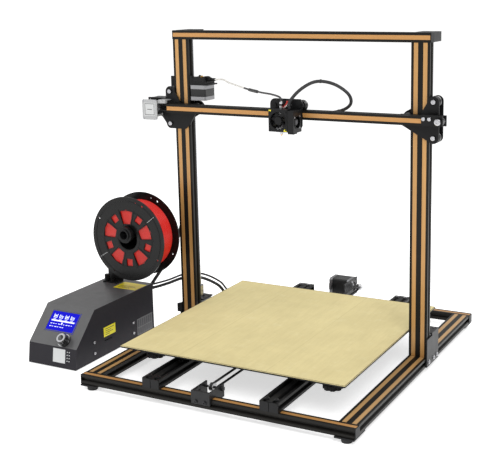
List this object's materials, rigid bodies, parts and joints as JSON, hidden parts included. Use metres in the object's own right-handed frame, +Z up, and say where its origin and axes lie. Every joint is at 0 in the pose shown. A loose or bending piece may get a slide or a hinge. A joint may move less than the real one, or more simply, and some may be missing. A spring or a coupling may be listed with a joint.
{
  "type": "fdm printer",
  "caption": "Large bed-slinging filament printer: portal frame of black and gold profiles, sliding taped bed, lifting gantry, separate control box carrying a red spool.",
  "frame": {"origin": "centre of the bounding box of the whole machine with its control box, on the plane the feet stand on", "axes": "+X along the gantry towards the idler end, +Y from the front beam to the back, +Z up"},
  "size_m": [0.8498, 0.7876, 0.712],
  "materials": {
    "black_profile": "satin black anodised",
    "rail_profile": "satin black anodised",
    "black_plate": "satin black powder coat",
    "grey_plate": "dark grey powder coat",
    "motor": "black laminations with silver caps",
    "box_paint": "fine satin grey powder coat",
    "box_steel": "satin grey",
    "display": "blue backlit panel",
    "black_plastic": "moulded black",
    "gloss_black": "glossy black with chrome band",
    "switch_red": "moulded red",
    "spool_black": "moulded black",
    "filament": "wound red strand",
    "steel": "bright",
    "rubber": "matte",
    "belt": "toothed belt",
    "wheel": "moulded black",
    "bed_plate": "black anodised",
    "tape": "crinkled paper tape",
    "label": "light grey",
    "brass": "turned",
    "alloy": "machined",
    "sleeve": "braided black sleeve",
    "tube": "smooth tube"
  },
  "bodies": {
    "frame": {"base_beams": "black_profile", "y_rails": "rail_profile", "upright_frame": "black_profile", "end_caps": "black_plastic", "corner_plates": "black_plate", "rubber_feet": "rubber", "z_brackets": "grey_plate", "frame_motors": "motor", "y_brackets": "grey_plate", "frame_screws": "steel", "box_base": "box_steel", "box_cover": "box_paint", "display_module": "display", "power_inlet": "black_plastic", "spool_bracket": "black_plate", "y_belt": "belt", "gantry_loom": "sleeve", "bed_cable": "sleeve"},
    "bed": {"bed_carriage": "black_plate", "heated_bed": "bed_plate", "print_surface": "tape", "levelling_knobs": "black_plastic", "bed_wheels": "wheel"},
    "gantry": {"x_bar": "black_profile", "z_plates": "black_plate", "x_motor": "motor", "x_label_plate": "label", "x_belt": "belt", "extruder_bracket": "black_plate", "extruder_motor": "motor", "extruder_body": "black_plastic", "bowden_tube": "tube", "hot_end_loom": "sleeve"},
    "carriage": {"carriage_plate": "black_plate", "hot_end": "alloy", "fan_shroud": "black_plate", "blower_housing": "black_plastic"},
    "spool": {"spool": "spool_black", "filament_coil": "filament"},
    "left_screw": {"left_lead_screw": "steel"},
    "right_screw": {"right_lead_screw": "steel"},
    "y_drive_pulley": {"y_drive_pulley": "steel"},
    "y_idler_pulley": {"y_idler_pulley": "steel"},
    "x_drive_pulley": {"x_drive_pulley": "steel"},
    "x_idler_pulley": {"x_idler_pulley": "steel"},
    "drive_gear": {"drive_gear": "brass"},
    "extruder_lever": {"extruder_lever": "black_plastic"},
    "front_fan": {"front_fan_rotor": "black_plastic"},
    "blower_fan": {"blower_rotor": "black_plastic"},
    "dial": {"encoder_knob": "gloss_black"},
    "power_rocker": {"power_rocker": "switch_red"},
    "z_wheel_lt": {"z_wheel_lt": "wheel"},
    "z_wheel_lb": {"z_wheel_lb": "wheel"},
    "z_wheel_li": {"z_wheel_li": "wheel"},
    "z_wheel_rt": {"z_wheel_rt": "wheel"},
    "z_wheel_rb": {"z_wheel_rb": "wheel"},
    "z_wheel_ri": {"z_wheel_ri": "wheel"},
    "x_wheel_l": {"x_wheel_l": "wheel"},
    "x_wheel_r": {"x_wheel_r": "wheel"},
    "x_wheel_b": {"x_wheel_b": "wheel"}
  },
  "joints": [
    {"name": "bed_slide", "type": "slide", "parent": "frame", "child": "bed", "axis": [0, 1, 0], "range_m": [-0.23, 0.265], "deforming": ["bed_cable"]},
    {"name": "gantry_lift", "type": "slide", "parent": "frame", "child": "gantry", "axis": [0, 0, 1], "range_m": [-0.415, 0.07], "deforming": ["gantry_loom"]},
    {"name": "carriage_slide", "type": "slide", "parent": "gantry", "child": "carriage", "axis": [1, 0, 0], "range_m": [-0.25, 0.25], "deforming": ["bowden_tube", "hot_end_loom"]},
    {"name": "spool_spin", "type": "hinge", "parent": "frame", "child": "spool", "pos_m": [-0.2961, -0.0762, 0.244], "axis": [0, 1, 0], "continuous": true},
    {"name": "left_screw_turn", "type": "hinge", "parent": "frame", "child": "left_screw", "pos_m": [-0.2006, 0.0378, 0.332], "axis": [0, 0, 1], "continuous": true},
    {"name": "right_screw_turn", "type": "hinge", "parent": "frame", "child": "right_screw", "pos_m": [0.3664, 0.0378, 0.332], "axis": [0, 0, 1], "continuous": true},
    {"name": "z_wheel_lt_roll", "type": "hinge", "parent": "gantry", "child": "z_wheel_lt", "pos_m": [-0.23195, 0.0038, 0.5745], "axis": [0, 1, 0], "continuous": true},
    {"name": "z_wheel_lb_roll", "type": "hinge", "parent": "gantry", "child": "z_wheel_lb", "pos_m": [-0.23195, 0.0038, 0.5015], "axis": [0, 1, 0], "continuous": true},
    {"name": "z_wheel_li_roll", "type": "hinge", "parent": "gantry", "child": "z_wheel_li", "pos_m": [-0.17225, 0.0038, 0.538], "axis": [0, 1, 0], "continuous": true},
    {"name": "z_wheel_rt_roll", "type": "hinge", "parent": "gantry", "child": "z_wheel_rt", "pos_m": [0.39775, 0.0038, 0.5745], "axis": [0, 1, 0], "continuous": true},
    {"name": "z_wheel_rb_roll", "type": "hinge", "parent": "gantry", "child": "z_wheel_rb", "pos_m": [0.39775, 0.0038, 0.5015], "axis": [0, 1, 0], "continuous": true},
    {"name": "z_wheel_ri_roll", "type": "hinge", "parent": "gantry", "child": "z_wheel_ri", "pos_m": [0.33805, 0.0038, 0.538], "axis": [0, 1, 0], "continuous": true},
    {"name": "x_wheel_l_roll", "type": "hinge", "parent": "carriage", "child": "x_wheel_l", "pos_m": [0.0519, -0.0207, 0.55785], "axis": [0, 1, 0], "continuous": true},
    {"name": "x_wheel_r_roll", "type": "hinge", "parent": "carriage", "child": "x_wheel_r", "pos_m": [0.1109, -0.0207, 0.55785], "axis": [0, 1, 0], "continuous": true},
    {"name": "x_wheel_b_roll", "type": "hinge", "parent": "carriage", "child": "x_wheel_b", "pos_m": [0.0814, -0.0207, 0.51815], "axis": [0, 1, 0], "continuous": true},
    {"name": "y_drive_pulley_turn", "type": "hinge", "parent": "frame", "child": "y_drive_pulley", "pos_m": [0.0689, 0.3728, 0.0405], "axis": [1, 0, 0], "continuous": true},
    {"name": "y_idler_pulley_turn", "type": "hinge", "parent": "frame", "child": "y_idler_pulley", "pos_m": [0.0689, -0.3462, 0.0405], "axis": [1, 0, 0], "continuous": true},
    {"name": "x_drive_pulley_turn", "type": "hinge", "parent": "gantry", "child": "x_drive_pulley", "pos_m": [-0.2706, -0.0207, 0.538], "axis": [0, 1, 0], "continuous": true},
    {"name": "x_idler_pulley_turn", "type": "hinge", "parent": "gantry", "child": "x_idler_pulley", "pos_m": [0.4156, -0.0207, 0.538], "axis": [0, 1, 0], "continuous": true},
    {"name": "drive_gear_turn", "type": "hinge", "parent": "gantry", "child": "drive_gear", "pos_m": [-0.1596, 0.0128, 0.602], "axis": [0, 0, 1], "continuous": true},
    {"name": "extruder_lever_open", "type": "hinge", "parent": "gantry", "child": "extruder_lever", "pos_m": [-0.1441, -0.004, 0.602], "axis": [0, 0, 1], "range_deg": [0, 10], "stiffness_Nm_per_rad": 1.2, "springref_deg": -8.59},
    {"name": "front_fan_spin", "type": "hinge", "parent": "carriage", "child": "front_fan", "pos_m": [0.07615, -0.0652, 0.529], "axis": [0, 1, 0], "continuous": true},
    {"name": "blower_spin", "type": "hinge", "parent": "carriage", "child": "blower_fan", "pos_m": [0.1069, -0.0542, 0.526], "axis": [1, 0, 0], "continuous": true},
    {"name": "dial_turn", "type": "hinge", "parent": "frame", "child": "dial", "pos_m": [-0.3331, -0.3008, 0.05781], "axis": [0, -0.7206, 0.6934], "continuous": true},
    {"name": "power_rocker_tilt", "type": "hinge", "parent": "frame", "child": "power_rocker", "pos_m": [-0.3341, -0.0262, 0.026], "axis": [1, 0, 0], "range_deg": [0, 12]}
  ],
  "couplings": [
    {"joint": "left_screw_turn", "follows": "gantry_lift", "rad_per_m": -785.4},
    {"joint": "right_screw_turn", "follows": "gantry_lift", "rad_per_m": -785.4},
    {"joint": "z_wheel_lt_roll", "follows": "gantry_lift", "rad_per_m": 95.238},
    {"joint": "z_wheel_lb_roll", "follows": "gantry_lift", "rad_per_m": 95.238},
    {"joint": "z_wheel_li_roll", "follows": "gantry_lift", "rad_per_m": -95.238},
    {"joint": "z_wheel_rt_roll", "follows": "gantry_lift", "rad_per_m": -95.238},
    {"joint": "z_wheel_rb_roll", "follows": "gantry_lift", "rad_per_m": -95.238},
    {"joint": "z_wheel_ri_roll", "follows": "gantry_lift", "rad_per_m": 95.238},
    {"joint": "x_wheel_l_roll", "follows": "carriage_slide", "rad_per_m": 95.238},
    {"joint": "x_wheel_r_roll", "follows": "carriage_slide", "rad_per_m": 95.238},
    {"joint": "x_wheel_b_roll", "follows": "carriage_slide", "rad_per_m": -95.238},
    {"joint": "y_drive_pulley_turn", "follows": "bed_slide", "rad_per_m": -151.52},
    {"joint": "y_idler_pulley_turn", "follows": "bed_slide", "rad_per_m": -151.52},
    {"joint": "x_drive_pulley_turn", "follows": "carriage_slide", "rad_per_m": -151.52},
    {"joint": "x_idler_pulley_turn", "follows": "carriage_slide", "rad_per_m": -151.52}
  ]
}
